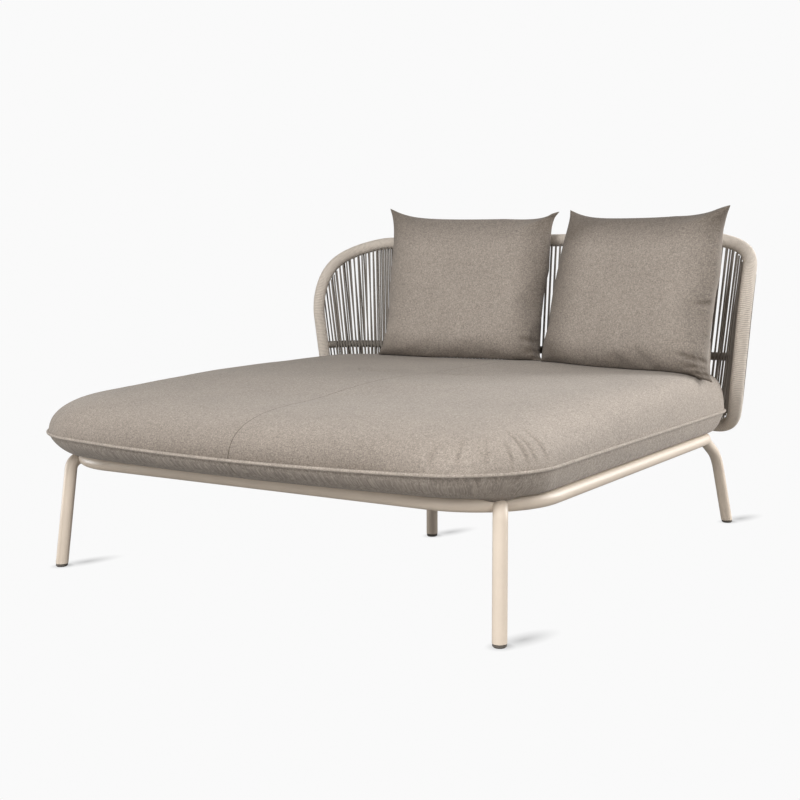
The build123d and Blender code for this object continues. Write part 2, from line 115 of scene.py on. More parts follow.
# Pillows: place, turn and roll of each, as in the CAD model
pillow_lean = radians(10.5)
pillow_size = (0.590, 0.470, 0.150)
pillow_poses = {
    "left": ((-0.178, 0.502, 0.6977), radians(4.3), radians(-0.8)),
    "right": ((0.422, 0.403, 0.6914), radians(-15.3), radians(-1.0)),
}


# Materials

def new_material(name):
    mat = bpy.data.materials.new(name)
    mat.use_nodes = True
    tree = mat.node_tree
    shader = tree.nodes["Principled BSDF"]
    return mat, tree, shader


def add(tree, kind, **inputs):
    node = tree.nodes.new(kind)
    for key, value in inputs.items():
        node.inputs[key].default_value = value
    return node


def math_node(tree, operation, a, b=None):
    node = tree.nodes.new("ShaderNodeMath")
    node.operation = operation
    for number, value in enumerate((a, b)):
        if value is None:
            continue
        if isinstance(value, (int, float)):
            node.inputs[number].default_value = value
        else:
            tree.links.new(value, node.inputs[number])
    return node.outputs[0]


def noise(tree, vector, scale, detail=2.0, roughness=0.5):
    node = tree.nodes.new("ShaderNodeTexNoise")
    node.inputs["Scale"].default_value = scale
    node.inputs["Detail"].default_value = detail
    node.inputs["Roughness"].default_value = roughness
    tree.links.new(vector, node.inputs["Vector"])
    return node.outputs["Fac"]


def ramp(tree, value, stops):
    node = tree.nodes.new("ShaderNodeValToRGB")
    elements = node.color_ramp.elements
    while len(elements) < len(stops):
        elements.new(0.5)
    for element, (place, colour) in zip(elements, stops):
        element.position = place
        element.color = (*colour, 1)
    tree.links.new(value, node.inputs["Fac"])
    return node.outputs["Color"]


def bump(tree, height, strength, distance):
    node = tree.nodes.new("ShaderNodeBump")
    node.inputs["Strength"].default_value = strength
    node.inputs["Distance"].default_value = distance
    tree.links.new(height, node.inputs["Height"])
    return node.outputs["Normal"]


def scaled(tree, vector, factors):
    node = tree.nodes.new("ShaderNodeMapping")
    node.inputs["Scale"].default_value = factors
    tree.links.new(vector, node.inputs["Vector"])
    return node.outputs["Vector"]


def shade(colour, factor):
    return tuple(min(1.0, c * factor) for c in colour)


def yarn_floats(tree, flat, wide, long):
    """A random tone for each float of yarn: a brick of cloth that is wide by long metres."""
    place = scaled(tree, flat, (1 / wide, 1 / long, 1))
    whole = tree.nodes.new("ShaderNodeVectorMath")
    whole.operation = "FLOOR"
    tree.links.new(place, whole.inputs[0])
    chance = tree.nodes.new("ShaderNodeTexWhiteNoise")
    chance.noise_dimensions = "2D"
    tree.links.new(whole.outputs[0], chance.inputs["Vector"])
    return chance.outputs["Value"]


def fabric_material(name, colour, seam=False):
    """Fine plain weave in mixed yarns, laid out by the cloth's own flat coordinates."""
    mat, tree, shader = new_material(name)
    uv = add(tree, "ShaderNodeUVMap")
    uv.uv_map = "cloth"
    flat = uv.outputs["UV"]
    split = tree.nodes.new("ShaderNodeSeparateXYZ")
    tree.links.new(flat, split.inputs[0])
    warp = math_node(tree, "SINE", math_node(tree, "MULTIPLY", split.outputs[0], 2 * pi / thread_width))
    weft = math_node(tree, "SINE", math_node(tree, "MULTIPLY", split.outputs[1], 2 * pi / thread_width))
    weave = math_node(tree, "MULTIPLY", warp, weft)
    parts = [
        (yarn_floats(tree, flat, 0.0011, 0.0046), 0.27), (yarn_floats(tree, flat, 0.0046, 0.0011), 0.27),
        (yarn_floats(tree, flat, 0.0019, 0.0021), 0.24),
        (noise(tree, scaled(tree, flat, (45, 420, 1)), 1.0, 2.0, 0.6), 0.05),
        (noise(tree, scaled(tree, flat, (420, 45, 1)), 1.0, 2.0, 0.6), 0.05),
        (noise(tree, scaled(tree, flat, (8, 8, 1)), 1.0, 2.0, 0.5), 0.12),
    ]
    mix = None
    for value, share in parts:
        part = math_node(tree, "MULTIPLY", value, share)
        mix = part if mix is None else math_node(tree, "ADD", mix, part)
    tone = ramp(tree, mix, [
        (0.22, shade(colour, 0.68)), (0.42, shade(colour, 0.90)),
        (0.56, shade(colour, 1.08)), (0.80, shade(colour, 1.42)),
    ])
    coarse, fine = math_node(tree, "MULTIPLY", weave, 0.35), math_node(tree, "MULTIPLY", mix, 0.9)
    relief = math_node(tree, "ADD", coarse, fine)
    # Painted shade from a stored point attribute: the cloth darkens in folds, creases and along edges
    painted_shade_share = add(tree, "ShaderNodeAttribute")
    painted_shade_share.attribute_name = "painted_shade_share"
    painted_shade = ramp(tree, painted_shade_share.outputs["Fac"], [(0.0, (1, 1, 1)), (1.0, fold_shade_colour)])
    tone = multiplied(tree, tone, painted_shade)
    if seam:
        reach = math_node(tree, "ABSOLUTE", math_node(tree, "SUBTRACT", split.outputs[0], seam_place))
        line = math_node(tree, "LESS_THAN", reach, 0.0012)
        shadow = ramp(tree, line, [(0.0, (1, 1, 1)), (1.0, (0.50, 0.48, 0.46))])
        tone = multiplied(tree, tone, shadow)
    tree.links.new(tone, shader.inputs["Base Color"])
    shader.inputs["Roughness"].default_value = 0.92
    shader.inputs["Specular IOR Level"].default_value = 0.2
    shader.inputs["Sheen Weight"].default_value = 0.10
    shader.inputs["Sheen Roughness"].default_value = 0.5
    tree.links.new(bump(tree, relief, 0.16, 0.0004), shader.inputs["Normal"])
    return mat


def multiplied(tree, first, second):
    both = tree.nodes.new("ShaderNodeMix")
    both.data_type = "RGBA"
    both.blend_type = "MULTIPLY"
    both.inputs["Factor"].default_value = 1.0
    tree.links.new(first, both.inputs["A"])
    tree.links.new(second, both.inputs["B"])
    return both.outputs["Result"]


def coat_material(name, colour, roughness=0.42):
    """Satin powder coat with a fine orange-peel surface."""
    mat, tree, shader = new_material(name)
    place = add(tree, "ShaderNodeTexCoord").outputs["Object"]
    cloud = noise(tree, place, 14.0, 2.0)
    tone = ramp(tree, cloud, [(0.35, shade(colour, 0.97)), (0.65, shade(colour, 1.02))])
    tree.links.new(tone, shader.inputs["Base Color"])
    shader.inputs["Roughness"].default_value = roughness
    shader.inputs["Specular IOR Level"].default_value = 0.45
    peel = noise(tree, place, 900.0, 2.0, 0.4)
    tree.links.new(bump(tree, peel, 0.10, 0.0003), shader.inputs["Normal"])
    return mat


def rope_material(name, colour, wound=False):
    """Round braided rope: slanted strands in both directions, with a fine fibre fleck."""
    mat, tree, shader = new_material(name)
    place = add(tree, "ShaderNodeTexCoord").outputs["Object"]
    split = tree.nodes.new("ShaderNodeSeparateXYZ")
    tree.links.new(place, split.inputs[0])
    across = math_node(tree, "ADD", math_node(tree, "MULTIPLY", split.outputs[0], 1100.0),
                       math_node(tree, "MULTIPLY", split.outputs[1], 1100.0))
    along = math_node(tree, "MULTIPLY", split.outputs[2], 1300.0)
    one = math_node(tree, "SINE", math_node(tree, "ADD", along, across))
    two = math_node(tree, "SINE", math_node(tree, "SUBTRACT", along, across))
    braid = math_node(tree, "MAXIMUM", one, two)
    fibre = noise(tree, place, 900.0, 3.0, 0.6)
    mix = math_node(tree, "ADD", math_node(tree, "MULTIPLY", braid, 0.10), fibre)
    tone = ramp(tree, mix, [(0.34, shade(colour, 0.72)), (0.55, colour), (0.78, shade(colour, 1.14))])
    if wound:
        # Painted shade in the grooves between the turns of a winding, a little lighter on the crests
        crest = add(tree, "ShaderNodeAttribute")
        crest.attribute_name = "crest"
        painted_shade = ramp(tree, crest.outputs["Fac"], [
            (0.0, (0.22, 0.20, 0.18)), (0.60, (0.95, 0.95, 0.95)), (1.0, (1.1, 1.1, 1.1))])
        tone = multiplied(tree, tone, painted_shade)
    tree.links.new(tone, shader.inputs["Base Color"])
    shader.inputs["Roughness"].default_value = 0.85
    shader.inputs["Specular IOR Level"].default_value = 0.3
    coarse, fine = math_node(tree, "MULTIPLY", braid, 0.7), math_node(tree, "MULTIPLY", fibre, 0.6)
    relief = math_node(tree, "ADD", coarse, fine)
    tree.links.new(bump(tree, relief, 0.4, 0.0005), shader.inputs["Normal"])
    return mat


def plastic_material(name, colour, roughness=0.55):
    mat, tree, shader = new_material(name)
    place = add(tree, "ShaderNodeTexCoord").outputs["Object"]
    grain = noise(tree, place, 700.0, 2.0)
    tone = ramp(tree, grain, [(0.3, shade(colour, 0.85)), (0.7, shade(colour, 1.15))])
    tree.links.new(tone, shader.inputs["Base Color"])
    shader.inputs["Roughness"].default_value = roughness
    tree.links.new(bump(tree, grain, 0.15, 0.0003), shader.inputs["Normal"])
    return mat


def steel_material(name):
    mat, tree, shader = new_material(name)
    place = add(tree, "ShaderNodeTexCoord").outputs["Object"]
    lines = noise(tree, scaled(tree, place, (1, 60, 1)), 300.0, 2.0)
    tone = ramp(tree, lines, [(0.3, (0.50, 0.50, 0.49)), (0.7, (0.66, 0.66, 0.65))])
    tree.links.new(tone, shader.inputs["Base Color"])
    shader.inputs["Metallic"].default_value = 1.0
    shader.inputs["Roughness"].default_value = 0.35
    return mat


fabric_colour = (0.335, 0.290, 0.248)
coat_colour = (0.690, 0.590, 0.485)
rope_colour = (0.590, 0.525, 0.455)
mattress_fabric = fabric_material("mattress_fabric_weave", fabric_colour, seam=True)
piping_fabric = fabric_material("piping_weave", shade(fabric_colour, 1.06))
pillow_fabric = fabric_material("pillow_fabric_weave", shade(fabric_colour, 0.90))
coat = coat_material("frame_powder_coat", coat_colour)
slat_coat = coat_material("slat_powder_coat", coat_colour, 0.5)
wrap_rope = rope_material("wrapped_rope", rope_colour, wound=True)
# The strung rope and the mid rail's rope are the wrap's rope colour darkened: painted shade of the wings'
# inner side and of the mid rail
shaded_strand_rope = rope_material("strung_rope", shade(rope_colour, 0.40))
mid_rope = rope_material("wrapped_mid_rope", shade(rope_colour, 0.45), wound=True)
glide_plastic = plastic_material("glide_moulding", (0.110, 0.095, 0.080))
bolt_steel = steel_material("bolt_steel_brushed")


def paint(obj, mat):
    obj.data.materials.clear()
    obj.data.materials.append(mat)


def mesh_object(name, verts, faces, mat, body, smooth=True):
    mesh = bpy.data.meshes.new(name)
    mesh.from_pydata([tuple(v) for v in verts], [], [tuple(f) for f in faces])
    mesh.update()
    obj = bpy.data.objects.new(name, mesh)
    bpy.context.scene.collection.objects.link(obj)
    paint(obj, mat)
    mesh.polygons.foreach_set("use_smooth", [smooth] * len(mesh.polygons))
    if body:
        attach(obj, body)
    return obj


# Paths of the hoop and of the mid rail

def back_point(s, z, lift=0.0):
    sign = -1 if s < 0 else 1
    along = abs(s)
    turned = min(max((along - back_straight_half) / back_bend_radius, 0), back_bend_angle)
    beyond = max(along - back_straight_half - back_bend_radius * back_bend_angle, 0)
    x = min(along, back_straight_half) + back_bend_radius * sin(turned) + beyond * cos(back_bend_angle)
    y = back_setback - back_bend_radius * (1 - cos(turned)) - beyond * sin(back_bend_angle)
    out = back_lean * (z - back_reference_height) + lift
    return np.array((sign * (x + sin(turned) * out), y + cos(turned) * out, z))


def raked(z):
    """How much further out the hoop runs at a height."""
    return 1 + hoop_rake_share * (z - back_reference_height) / hoop_half_length


def on_hoop(s, z):
    return back_point(s * raked(z), z)


def corner_points(steps, along, up, level, sign):
    step = radians(90) / steps
    spread = 1 / cos(step / 2)
    points = []
    for number in range(steps):
        angle = step * (number + 0.5)
        points.append((hoop_half_length - along * (1 - cos(angle) * spread),
                       level - sign * up * (1 - sin(angle) * spread)))
    return points


def bent(points, share=0.45, arc_steps=8):
    """Points along straight runs joined by tangent arcs."""
    points = [np.array(p, float) for p in points]
    line = [points[0]]
    for before, here, after in zip(points, points[1:], points[2:]):
        into, out = here - before, after - here
        run = min(np.linalg.norm(into), np.linalg.norm(out)) * share
        into, out = into / np.linalg.norm(into), out / np.linalg.norm(out)
        start, end = here - into * run, here + out * run
        for number in range(arc_steps + 1):
            t = number / arc_steps
            line.append((1 - t) ** 2 * start + 2 * t * (1 - t) * here + t ** 2 * end)
    line.append(points[-1])
    return np.array(line)


def resampled(line, spacing):
    steps = np.linalg.norm(np.diff(line, axis=0), axis=1)
    reach = np.concatenate([[0], np.cumsum(steps)])
    count = int(ceil(reach[-1] / spacing))
    wanted = np.linspace(0, reach[-1], count + 1)
    return np.stack([np.interp(wanted, reach, line[:, k]) for k in range(3)], 1), wanted


def mirrored(half):
    return half + [p * np.array((-1, 1, 1)) for p in reversed(half)]


upper_corners = [(hoop_half_length, hoop_weld_height)]
upper_corners += corner_points(hoop_top_steps, hoop_top_along, hoop_top_up, hoop_top_height, 1)
upper_line = bent(mirrored([on_hoop(s, z) for s, z in upper_corners]))
lower_corners = [(hoop_half_length, hoop_weld_height)]
lower_corners += corner_points(hoop_bottom_steps, hoop_bottom_radius, hoop_bottom_radius,
                               hoop_bottom_height, -1)
lower_half = [on_hoop(s, z) for s, z in lower_corners]
lower_half.append(back_point(back_straight_half, hoop_bottom_height))
lower_line = bent(mirrored(lower_half))


def mid_rail_line():
    step = back_bend_angle / mid_rail_steps
    out = back_lean * (mid_rail_height - back_reference_height)
    spread = (back_bend_radius + out) * (1 / cos(step / 2) - 1)
    half = [back_point(hoop_half_length * raked(mid_rail_height), mid_rail_height)]
    for number in reversed(range(mid_rail_steps)):
        along = back_straight_half + back_bend_radius * step * (number + 0.5)
        half.append(back_point(along, mid_rail_height, spread))
    return bent(mirrored(half))


def frames_along(line):
    """Tangent and two normals at each point, carried along without twist."""
    tangents = np.gradient(line, axis=0)
    tangents /= np.linalg.norm(tangents, axis=1)[:, None]
    normal = np.cross(tangents[0], (0.3, 0.5, 0.8))
    normal /= np.linalg.norm(normal)
    first, second = [], []
    for tangent in tangents:
        normal = normal - tangent * normal.dot(tangent)
        normal /= np.linalg.norm(normal)
        first.append(normal)
        second.append(np.cross(tangent, normal))
    return np.array(first), np.array(second)


def grid_faces(rows, columns, closed_rows=False):
    """Faces of a tube: rings of points, closed round each ring and, when asked, end to end."""
    faces = []
    last_row = rows if closed_rows else rows - 1
    for i in range(last_row):
        for j in range(columns):
            a, b = i * columns + j, i * columns + (j + 1) % columns
            c, d = ((i + 1) % rows) * columns + (j + 1) % columns, ((i + 1) % rows) * columns + j
            faces.append((a, b, c, d))
    return faces


def wound_sleeve(name, line, outer, inner, mat, body, sides, trim):
    """Rope laid in close turns round a tube: one ridge a turn, which climbs as a screw."""
    line, reach = resampled(line, wrap_pitch / 5)
    if trim:
        keep = (reach > trim) & (reach < reach[-1] - trim)
        line, reach = line[keep], reach[keep]
    first, second = frames_along(line)
    angles = np.arange(sides) * 2 * pi / sides
    wander = 0.16 * np.sin(reach * 41.0) + 0.12 * np.sin(reach * 17.3 + 1.0)
    phase = reach[:, None] / wrap_pitch + angles[None, :] / (2 * pi) + wander[:, None]
    ridge = np.abs(np.sin(pi * phase)) ** 0.7
    radius = outer - wrap_groove * (1 - ridge)
    turns, lifts = np.cos(angles)[None, :, None], np.sin(angles)[None, :, None]
    outward = turns * first[:, None, :] + lifts * second[:, None, :]
    rings = line[:, None, :] + radius[:, :, None] * outward
    verts = rings.reshape(-1, 3)
    faces = grid_faces(len(line), sides)
    count = len(line)
    inner_rings = [line[place] + inner * outward[place] for place in (0, count - 1)]
    start = len(verts)
    verts = np.concatenate([verts, inner_rings[0], inner_rings[1]])
    last = (count - 1) * sides
    for j in range(sides):
        k = (j + 1) % sides
        faces.append((j, start + j, start + k, k))
        faces.append((last + k, start + sides + k, start + sides + j, last + j))
    obj = mesh_object(name, verts, faces, mat, body)
    # The crest share also sets the rope's painted shade in the grooves
    crest = obj.data.attributes.new("crest", "FLOAT", "POINT")
    crest.data.foreach_set("value", np.concatenate([ridge.ravel(), np.ones(2 * sides)]))
    return obj


windings = [
    ("upper", upper_line, wrap_radius, hoop_tube_radius, wrap_rope, 28, 0.0, "rope_wrap_upper"),
    ("lower", lower_line, wrap_radius, hoop_tube_radius, wrap_rope, 28, 0.0, "rope_wrap_lower"),
    ("mid", mid_rail_line(), mid_wrap_radius, mid_rail_radius, mid_rope, 16, wrap_radius, "mid_rail_wrap"),
]
for name, line, outer, inner, rope, sides, trim, replaced in windings:
    sleeve = wound_sleeve(f"rope_winding_{name}", line, outer, inner, rope, "base", sides, trim)
    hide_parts(replaced)


# Mattress

def outline_sides(half, front, rear, bow, front_r, rear_r, fractions):
    """The plan outline: four sides from corner middle to corner middle, each at the fractions."""
    corners = [(half, -front, front_r, -45), (half, rear, rear_r, 45),
               (-half, rear, rear_r, 135), (-half, -front, front_r, 225)]
    sides = []
    for number in range(4):
        x0, y0, r0, _ = corners[number - 1]
        x1, y1, r1, a1 = corners[number]
        c0 = np.array((x0 - np.sign(x0) * r0, y0 - np.sign(y0) * r0))
        c1 = np.array((x1 - np.sign(x1) * r1, y1 - np.sign(y1) * r1))
        arc0, arc1 = r0 * pi / 4, r1 * pi / 4
        heading = radians(a1 - 45)
        normal = np.array((cos(heading), sin(heading)))
        s0, s1 = c0 + normal * r0, c1 + normal * r1
        run = np.linalg.norm(s1 - s0)
        total = arc0 + run + arc1
        points = []
        for f in fractions:
            d = f * total
            if d < arc0:
                angle = heading - (arc0 - d) / r0
                p = c0 + r0 * np.array((cos(angle), sin(angle)))
            elif d > arc0 + run:
                angle = heading + (d - arc0 - run) / r1
                p = c1 + r1 * np.array((cos(angle), sin(angle)))
            else:
                p = s0 + (s1 - s0) * ((d - arc0) / run)
            points.append(p)
        sides.append(np.array(points))
    result = np.array(sides)
    x, y = result[..., 0], result[..., 1]
    near_front = np.clip((-y - front * 0.35) / (front * 0.65), 0, 1)
    result[..., 1] = y - bow * (1 - (x / half) ** 2) * near_front * near_front * (3 - 2 * near_front)
    return result


def outline_at(inset, grow, fractions, upper):
    """The plan outline at a side inset, which counts more at the front of the upper panel."""
    share = max(1 - inset / half_width, 0.02)
    fs, rs = (front_slope, rear_slope) if upper else (1.0, 1.0)
    half = half_width - inset + grow
    front, rear = front_edge - inset * fs + grow, rear_edge - inset * rs + grow
    return outline_sides(half, front, rear, front_bow * share,
                         front_radius * share + grow, rear_radius * share + grow, fractions)


def gathered(t, gather=0.75):
    """Shares from 0 to 1 that lie closer together near both ends."""
    return (1 - gather) * t + gather * (1 - np.cos(pi * t)) / 2


def square_grid(count):
    """Grid of (2 count + 1) squared places, with the ring, side and step along the side of each."""
    b, a = np.mgrid[-count:count + 1, -count:count + 1]
    ring = np.maximum(np.abs(a), np.abs(b))
    side = np.full(ring.shape, 3)
    step = ring - b
    bottom = (b == -ring) & (a < ring)
    right = (a == ring) & (b < ring)
    top = (b == ring) & (a > -ring)
    for number, where, along in ((0, bottom, a + ring), (1, right, b + ring), (2, top, ring - a)):
        side[where] = number
        step[where] = along[where]
    return ring, side, step


def panel(count, insets, heights, upper):
    """A panel over the whole plan outline. insets and heights run from the middle to the edge."""
    ring, side, step = square_grid(count)
    points = np.zeros(ring.shape + (3,))
    for r in range(count + 1):
        where = ring == r
        if r == 0:
            points[where, :2] = outline_at(insets[0], 0, [0.5], upper).reshape(-1, 2).mean(0)
        else:
            sides = outline_at(insets[r], 0, gathered(np.arange(2 * r) / (2 * r)), upper)
            points[where, :2] = sides[side[where], step[where] % (2 * r)]
        points[where, 2] = heights[r]
    return ring, points


def crown_profile(inset):
    """Height share of the upper panel at a side inset."""
    t = np.clip(1 - inset / 0.47, 0, 1)
    return (1 - t ** 10) ** (1 / 2.2)


def smooth_noise(points, seed, scale):
    """Slow, repeatable undulation from a few sine waves in random directions."""
    maker = np.random.default_rng(seed)
    total = np.zeros(points.shape[:-1])
    for _ in range(14):
        direction = maker.normal(size=3)
        direction /= np.linalg.norm(direction)
        rate = scale * maker.uniform(0.5, 1.6)
        total += np.sin(points @ direction * rate + maker.uniform(0, 2 * pi))
    return total / 14 ** 0.5


def seam_run(points):
    """Distance along the outline from the middle of the nearer front corner, + towards the back."""
    across, back = np.abs(points[..., 0]), points[..., 1]
    angle = np.arctan2(back + front_edge - front_radius, across - half_width + front_radius) + pi / 4
    arc = front_radius * pi / 4
    before = across - half_width + front_radius - arc
    beyond = back + front_edge - front_radius + arc
    return np.where(angle < -pi / 4, before, np.where(angle > pi / 4, beyond, angle * front_radius))


# Gathers at the piping: place along the outline, depth, lean and reach over the panel, in metres
lower_gathers = [
    (-0.128, 0.0016, 0.30, 0.020), (-0.117, 0.0022, 0.35, 0.026), (-0.103, 0.0020, 0.30, 0.022),
    (-0.088, 0.0022, 0.30, 0.028), (-0.072, 0.0026, 0.22, 0.034), (-0.049, 0.0030, 0.15, 0.034),
    (-0.012, 0.0020, 0.20, 0.024), (0.010, 0.0012, 0.10, 0.018), (0.036, 0.0026, -0.10, 0.026),
    (0.090, 0.0010, -0.20, 0.020), (-0.160, 0.0010, 0.25, 0.018), (-0.190, 0.0008, 0.2, 0.016),
]
upper_gathers = [
    (-0.135, 0.0008, 0.3, 0.020), (-0.085, 0.0010, 0.25, 0.024), (-0.030, 0.0009, 0.2, 0.022),
    (0.022, 0.0012, -0.1, 0.022), (0.060, 0.0022, -0.45, 0.034), (0.080, 0.0020, -0.4, 0.030),
    (0.116, 0.0020, -0.25, 0.034),
]


def gather(points, table, away, width=0.0042):
    """Depth of the short folds that the piping seam gathers in, at a distance from the seam."""
    run = seam_run(points)
    depth = np.zeros(run.shape)
    for place, deep, lean, reach in table:
        across = (run - place - lean * away) / width
        fade = np.clip(away / 0.004, 0, 1) * np.clip(1 - away / reach, 0, 1) ** 0.8
        depth += deep * np.exp(-across ** 2) * fade
        depth -= 0.35 * deep * np.exp(-((across - 2.0) / 1.3) ** 2) * fade
    mirror = np.where(points[..., 0] > 0, 1.0, 0.55)
    near = np.clip((front_edge * -0.25 - points[..., 1]) / 0.1, 0, 1)
    return gather_depth * depth * mirror * near


def front_sag(x, y):
    """How far the piping hangs down between the two front corners."""
    middle = np.clip(1 - (x / 0.60) ** 2, 0, 1)
    return front_sag_depth * middle * np.clip((-y - 0.55) / 0.25, 0, 1)


def front_fall(x, y):
    """How far the top lies below the crown towards the front edge."""
    near = np.clip((-0.28 - y) / 0.36, 0, 1)
    middle = 0.35 + 0.65 * np.clip(1 - (x / 0.62) ** 2, 0, 1)
    return front_fall_depth * near * near * (3 - 2 * near) * middle


slat_step = 2 * slat_reach / (slat_count - 1)
slat_places = [frame_middle - slat_reach + slat_step * number for number in range(slat_count)]


def between_slats(y):
    """1 in the middle of a gap between two slats, 0 on a slat."""
    nearest = np.min(np.abs(np.asarray(y)[..., None] - np.array(slat_places)), -1)
    return np.clip((nearest - 0.034) / 0.022, 0, 1)


def near_seam(points):
    """1 on the seam between the two halves of the cover, falling off to both sides."""
    return np.exp(-((points[..., 0] - seam_place) / seam_half_width) ** 2)


def upper_panel(count):
    """Ring, points and painted shade of the upper panel, from the middle out to the piping."""
    insets = 0.62 * (1 - np.linspace(0, 1, count + 1)) ** 1.9
    heights = piping_height + (crown_height - crown_dome - piping_height) * crown_profile(insets)
    heights += crown_dome * np.clip(insets / 0.5, 0, 1) ** 0.7
    ring, top = panel(count, insets, heights, True)
    away = insets[ring]

    # The long sides rise slowly near the front and steeply near the back
    rise = np.interp(top[..., 1], [-0.75, -0.61, -0.31, 0.05, 0.33], [1.75, 1.65, 0.95, 0.5, 0.45])
    shift = side_shift * np.tanh(away / side_shift) * (1 - rise)
    shift *= np.clip(np.abs(top[..., 0]) / 0.35, 0, 1) ** 2
    top[..., 0] += np.sign(top[..., 0]) * shift

    rise_share = np.clip((top[..., 2] - piping_height) / (crown_height - piping_height), 0, 1)
    top[..., 2] -= front_sag(top[..., 0], top[..., 1]) * (1 - rise_share) ** 0.5
    top[..., 2] -= front_fall(top[..., 0], top[..., 1]) * rise_share
    wave = smooth_noise(top, 5, 9.0) * 0.0016 + smooth_noise(top, 9, 26.0) * 0.0007
    top[..., 2] += wave * np.clip((count - ring) / 20, 0, 1)
    top[..., 2] -= gather(top, upper_gathers, away) * (ring < count)

    # The seam between the two halves of the cover: a shallow groove from front to back
    groove = seam_groove * near_seam(top) * np.clip((count - ring) / 3, 0, 1)
    top[..., 2] -= groove
    top[..., 1] -= np.sign(top[..., 1]) * groove * np.clip(1 - away / 0.03, 0, 1)

    # Painted shade: darker in the gathers and down the front slope
    tone = np.clip(gather(top, upper_gathers, away) / fold_shade_depth, 0, 0.6) * (ring < count)
    across = np.clip((0.56 - top[..., 0]) / 0.18, 0, 1) * np.clip((top[..., 0] + 0.80) / 0.7, 0, 1)
    slope = np.clip((-top[..., 1] - 0.45) / 0.15, 0, 1) * np.clip(1 - rise_share / 0.72, 0, 1)
    tone += front_slope_shade * slope * across
    return ring, top, tone


def lower_panel(count, ring):
    """Points and painted shade of the lower panel, from the flat bottom out and up to the piping."""
    shares = np.linspace(0, 1, 21)
    flat = count - (len(shares) - 1)
    wall_insets = bottom_inset * (1 - shares ** 0.45) ** 1.1
    wall_heights = mattress_bottom + (piping_height - mattress_bottom) * shares
    flat_insets = wall_insets[0] + np.linspace(0.58, 0, flat + 1)
    insets = np.concatenate([flat_insets[:-1], wall_insets])
    heights = np.concatenate([np.full(flat, mattress_bottom), wall_heights])
    _, under = panel(count, insets, heights, False)
    share = np.where(ring > flat, shares[np.clip(ring - flat, 0, len(shares) - 1)], 0.0)
    wall = (ring > flat) & (ring < count)
    under[..., 1] += front_tuck * np.clip((-under[..., 1] - 0.50) / 0.30, 0, 1) * (1 - share) ** 2.0

    # Gathers below the piping, the sag of the front and a slight ripple of the wall
    outward = under[..., :2] / np.maximum(np.linalg.norm(under[..., :2], axis=-1), 0.01)[..., None]
    fold = gather(under, lower_gathers, piping_height - under[..., 2]) * wall
    under[..., 2] -= front_sag(under[..., 0], under[..., 1]) * share
    ripple = smooth_noise(under * np.array((1, 1, 0.5)), 21, 60.0) * cloth_ripple
    ripple *= np.sin(np.clip((ring - flat) / 20, 0, 1) * pi)
    under[..., :2] -= outward * (fold + ripple)[..., None]

    # Inside the frame the bottom lies on the slats and sags between them
    y = under[..., 1]
    inside = np.clip((opening_half_width - np.abs(under[..., 0])) / 0.012, 0, 1)
    inside *= (np.clip((y - frame_middle + opening_half_depth) / 0.012, 0, 1) *
               np.clip((opening_half_depth - y + frame_middle) / 0.012, 0, 1))
    under[..., 2] -= (slat_touch + slat_sag * between_slats(y)) * inside * (ring <= flat)
    under[..., 1] -= np.sign(y) * seam_cut * near_seam(under) * wall

    # Painted shade: darker in the gathers and along the bottom edge of the front
    front = np.clip((-under[..., 1] - 0.45) / 0.2, 0, 1)
    low = np.clip((0.004 - (under[..., 2] - mattress_bottom)) / 0.004, 0, 1) * front
    tone = np.clip(np.maximum(low, np.clip(fold / fold_shade_depth, 0, 1) * 0.5), 0, 1)
    return under, tone


def build_mattress(count=84):
    """Both panels, which share their outer ring of points."""
    ring, top, top_shade = upper_panel(count)
    under, under_shade = lower_panel(count, ring)
    inner = ring < count
    size = 2 * count + 1
    index_top = np.arange(size * size).reshape(size, size)
    index_under = index_top.copy()
    index_under[inner] = size * size + np.arange(np.count_nonzero(inner))
    verts = np.concatenate([top.reshape(-1, 3), under[inner]])
    quads = grid_quads(index_top, index_under)
    obj = mesh_object("mattress", verts, quads, mattress_fabric, None)
    lay_flat_cloth(obj)
    add_painted_shade(obj, np.concatenate([top_shade.ravel(), under_shade[inner]]))
    return obj


def grid_quads(front, back):
    """Quads of two grids of point numbers that share their edge, the second one turned over."""
    quads = []
    for grid, order in ((front, (0, 1, 2, 3)), (back, (0, 3, 2, 1))):
        corners = (grid[:-1, :-1], grid[:-1, 1:], grid[1:, 1:], grid[1:, :-1])
        quads.append(np.stack([corners[k] for k in order], -1).reshape(-1, 4))
    return np.concatenate(quads).tolist()


def add_painted_shade(obj, values):
    """Stores the painted shade of folds and edges on the cloth, 0 for plain and 1 for the darkest."""
    layer = obj.data.attributes.new("painted_shade_share", "FLOAT", "POINT")
    layer.data.foreach_set("value", np.ravel(values))


def lay_flat_cloth(obj):
    """Flat cloth coordinates, in metres: plan on the panels, unrolled down the sides."""
    mesh = obj.data
    layer = mesh.uv_layers.new(name="cloth")
    co = np.zeros(len(mesh.vertices) * 3)
    mesh.vertices.foreach_get("co", co)
    co = co.reshape(-1, 3)
    loops = np.zeros(len(mesh.loops), int)
    mesh.loops.foreach_get("vertex_index", loops)
    p = co[loops]
    side = np.clip((np.abs(p[:, 0]) - 0.40) / 0.24, 0, 1)
    end = np.clip((np.abs(p[:, 1] + 0.145) - 0.42) / 0.24, 0, 1)
    down = 0.47 - p[:, 2]
    u = p[:, 0] + np.sign(p[:, 0]) * side * down
    v = p[:, 1] + np.sign(p[:, 1] + 0.145) * end * down
    layer.data.foreach_set("uv", np.stack([u, v], 1).ravel())


mattress = build_mattress()
mattress_surface = BVHTree.FromPolygons([v.co.copy() for v in mattress.data.vertices],
                                        [tuple(f.vertices) for f in mattress.data.polygons])
smoother = mattress.modifiers.new("smooth", "SUBSURF")
smoother.levels = 1
smoother.render_levels = 1
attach(mattress, "mattress")
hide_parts("mattress_core", "mattress_cover")


